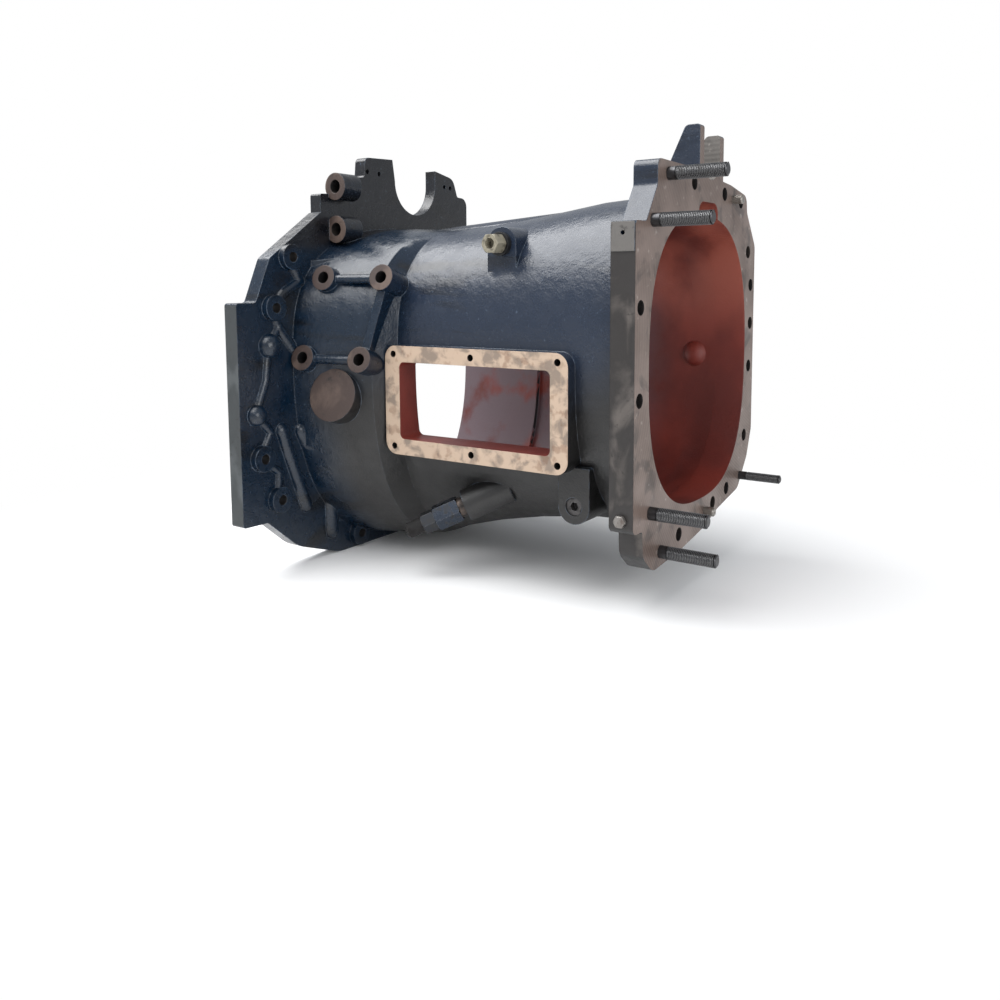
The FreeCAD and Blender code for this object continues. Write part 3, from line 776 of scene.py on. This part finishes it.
@dataclass
class StudSet:
    """The threaded studs of the rear face, in place of the plain rods."""

    pitches: dict[str, float] = field(default_factory=lambda: {"rear_studs": 0.002, "small_stud": 0.00175})
    shank: float = 0.012

    def build(self, record: dict) -> list[bpy.types.Object]:
        """Builds the four large studs as one piece and the small one as another.

        Args:
            record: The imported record, whose pin mounts give each stud's place and size.

        Returns:
            The two pieces.
        """
        finish = WorkedSteel("stud_steel", tone(74, 74, 76), tone(30, 27, 25), 0.7, 0.3).material()
        made = []
        for node, pitch in self.pitches.items():
            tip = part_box(node)[1].x
            bm = bmesh.new()
            for mount in record["mounts"]:
                small = mount["name"] == "stud_small"
                if mount["name"].startswith("stud") and small == (node == "small_stud"):
                    stud = Stud(2 * mount["dims"]["r_mm"] * MM, tip, pitch, self.shank)
                    stud.add_to(bm, mount["pos_m"][1], mount["pos_m"][2])
            bmesh.ops.remove_doubles(bm, verts=bm.verts, dist=0.00002)
            bmesh.ops.recalc_face_normals(bm, faces=bm.faces)
            made.append(new_piece(f"{node}_threaded", bm, finish, node))
        return made


def new_piece(name: str, bm: bmesh.types.BMesh, material: bpy.types.Material, node: str) -> bpy.types.Object:
    """Object from a mesh that takes the place of a node.

    Args:
        name: Name of the piece.
        bm: Its mesh, which is freed.
        material: Its material.
        node: Node that it replaces.

    Returns:
        The piece, riding on the root.
    """
    mesh = bpy.data.meshes.new(name)
    for face in bm.faces:
        face.smooth = True
    bm.to_mesh(mesh)
    bm.free()
    mesh.set_sharp_from_angle(angle=math.radians(PIECE_CREASE))
    mesh.materials.append(material)
    piece = bpy.data.objects.new(name, mesh)
    bpy.context.scene.collection.objects.link(piece)
    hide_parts(node)
    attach(piece, "root")
    return piece


# ---------------------------------------------------------------- fittings
@dataclass
class Fittings:
    """Screwed-in parts that keep their solids and get their finishes."""

    finishes: dict[str, Callable[[], bpy.types.Material]] = field(default_factory=lambda: {
        "dowel_pins": WorkedSteel("dowel_steel", tone(150, 146, 140), tone(80, 66, 56), 0.68, 0.35).material,
        "edge_plug": WorkedSteel("plug_steel", tone(140, 136, 132), tone(74, 60, 52), 0.6, 0.4).material,
        "socket_plug": WorkedSteel("socket_steel", tone(86, 84, 84), tone(30, 27, 26), 0.6, 0.6).material,
        "sensor_collar": StainedPlastic("black_ring", tone(26, 26, 28), tone(12, 12, 12), 0.42).material,
        "sensor_body": StainedPlastic("pale_plastic", tone(134, 128, 112), tone(44, 38, 31), 0.4).material,
        "port_collar": WorkedSteel("collar_steel", tone(96, 86, 80), tone(34, 28, 26), 0.55, 0.7).material,
        "port_adapter": WorkedSteel("adapter_steel", tone(58, 64, 74), tone(22, 22, 24), 0.76, 0.5).material,
        "port_nut": WorkedSteel("nut_steel", tone(58, 60, 64), tone(22, 21, 21), 0.7, 0.65).material,
        "port_cap": WorkedSteel("cap_steel", tone(44, 42, 42), tone(18, 17, 17), 0.42, 0.8).material,
    })

    def dress(self, nodes: dict[str, bpy.types.Object]) -> None:
        """Gives each fitting its finish.

        Args:
            nodes: The frame's nodes by name.
        """
        for name, make in self.finishes.items():
            piece = nodes[name]
            piece.data.materials.clear()
            piece.data.materials.append(make())
            LOG.info("dressed %s", name)


# ---------------------------------------------------------------- studio
@dataclass
class Studio:
    """Pale floor, soft lamps, white surroundings and the camera."""

    floor_size: float = 12.0
    lens: float = 32.69
    shift_y: float = -0.125
    eye: tuple[float, float, float] = (0.4332, -1.0773, 0.0977)
    yaw: float = 34.49
    pitch: float = -5.84
    roll: float = -0.31

    def build(self) -> None:
        """Makes the floor, the world, the lamps and the camera."""
        self.floor()
        self.world()
        self.lamp("key", (-0.4, -1.7, 1.9), 1.6, 31)
        self.lamp("sheen", (-1.0, -0.35, 1.5), 1.5, 40)
        self.lamp("fill", (2.0, -1.3, 0.7), 1.4, 24)
        self.camera()
        bpy.context.scene.view_settings.view_transform = "Standard"

    def floor(self) -> None:
        """Adds the floor, which fades to white away from the part."""
        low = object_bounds()[0].z
        bm = bmesh.new()
        bmesh.ops.create_grid(bm, x_segments=1, y_segments=1, size=self.floor_size,
                              matrix=Matrix.Translation((0, 0, low)))
        mesh = bpy.data.meshes.new("floor")
        bm.to_mesh(mesh)
        bm.free()
        graph = Graph("pale_floor")
        x, y, _ = graph.axes()
        away = (((x + 0.25) ** 2 + y ** 2) ** 0.5).step(0.2, 0.95)
        rays = graph.add("ShaderNodeLightPath").outputs
        seen = Level(graph, rays["Is Camera Ray"]).most(Level(graph, rays["Is Glossy Ray"]))
        matt = graph.add("ShaderNodeBsdfDiffuse", None, {"Color": (0.93, 0.93, 0.93, 1)})
        glow = graph.add("ShaderNodeEmission", None, {"Color": (1, 1, 1, 1), "Strength": 1.0})
        mixed = graph.add("ShaderNodeMixShader", None,
                          {0: away * seen, 1: matt.outputs[0], 2: glow.outputs[0]})
        graph.add("ShaderNodeOutputMaterial", None, {"Surface": mixed.outputs[0]})
        mesh.materials.append(graph.material)
        plane = bpy.data.objects.new("floor", mesh)
        bpy.context.scene.collection.objects.link(plane)
        plane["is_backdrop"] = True

    def world(self) -> None:
        """Surroundings that are white to the camera and through glass, and light the part more softly."""
        world = bpy.data.worlds.new("studio")
        world.use_nodes = True
        bpy.context.scene.world = world
        tree = world.node_tree
        tree.nodes.clear()
        path = tree.nodes.new("ShaderNodeLightPath")
        white = tree.nodes.new("ShaderNodeBackground")
        white.inputs["Strength"].default_value = 1.0
        white.inputs["Color"].default_value = (1, 1, 1, 1)
        soft = tree.nodes.new("ShaderNodeBackground")
        soft.inputs["Color"].default_value = (0.93, 0.96, 1.0, 1)
        soft.inputs["Strength"].default_value = 0.6
        seen = tree.nodes.new("ShaderNodeMath")
        seen.operation = "MAXIMUM"
        tree.links.new(path.outputs["Is Camera Ray"], seen.inputs[0])
        tree.links.new(path.outputs["Is Transmission Ray"], seen.inputs[1])
        mixed = tree.nodes.new("ShaderNodeMixShader")
        tree.links.new(seen.outputs[0], mixed.inputs[0])
        tree.links.new(soft.outputs[0], mixed.inputs[1])
        tree.links.new(white.outputs[0], mixed.inputs[2])
        out = tree.nodes.new("ShaderNodeOutputWorld")
        tree.links.new(mixed.outputs[0], out.inputs["Surface"])

    def lamp(self, name: str, place: Sequence[float], size: float, power: float) -> None:
        """Adds a square lamp that looks at the middle of the part.

        Args:
            name: Name of the lamp.
            place: Where it hangs.
            size: Side of its square.
            power: Watts.
        """
        data = bpy.data.lights.new(name, "AREA")
        data.size = size
        data.energy = power
        lamp = bpy.data.objects.new(name, data)
        lamp.location = place
        aim = Vector((-0.25, 0, 0)) - Vector(place)
        lamp.rotation_euler = aim.to_track_quat("-Z", "Y").to_euler()
        bpy.context.scene.collection.objects.link(lamp)

    def camera(self) -> None:
        """Adds the camera."""
        data = bpy.data.cameras.new("camera")
        data.lens = self.lens
        data.sensor_width = 36.0
        data.shift_y = self.shift_y
        eye = bpy.data.objects.new("camera", data)
        eye.location = self.eye
        turn = (Matrix.Rotation(math.radians(self.yaw), 3, "Z")
                @ Matrix.Rotation(math.radians(90 + self.pitch), 3, "X")
                @ Matrix.Rotation(math.radians(self.roll), 3, "Z"))
        eye.rotation_euler = turn.to_euler()
        bpy.context.scene.collection.objects.link(eye)
        bpy.context.scene.camera = eye


def main() -> None:
    """Builds the dressed part in its studio."""
    logging.basicConfig(level=logging.INFO, format="%(message)s")
    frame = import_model()
    casting = Casting().build(frame["record"])
    LOG.info("built %s", casting.name)
    for piece in StudSet().build(frame["record"]):
        LOG.info("built %s", piece.name)
    Fittings().dress(frame["nodes"])
    Studio().build()


if __name__ == "__main__":
    main()
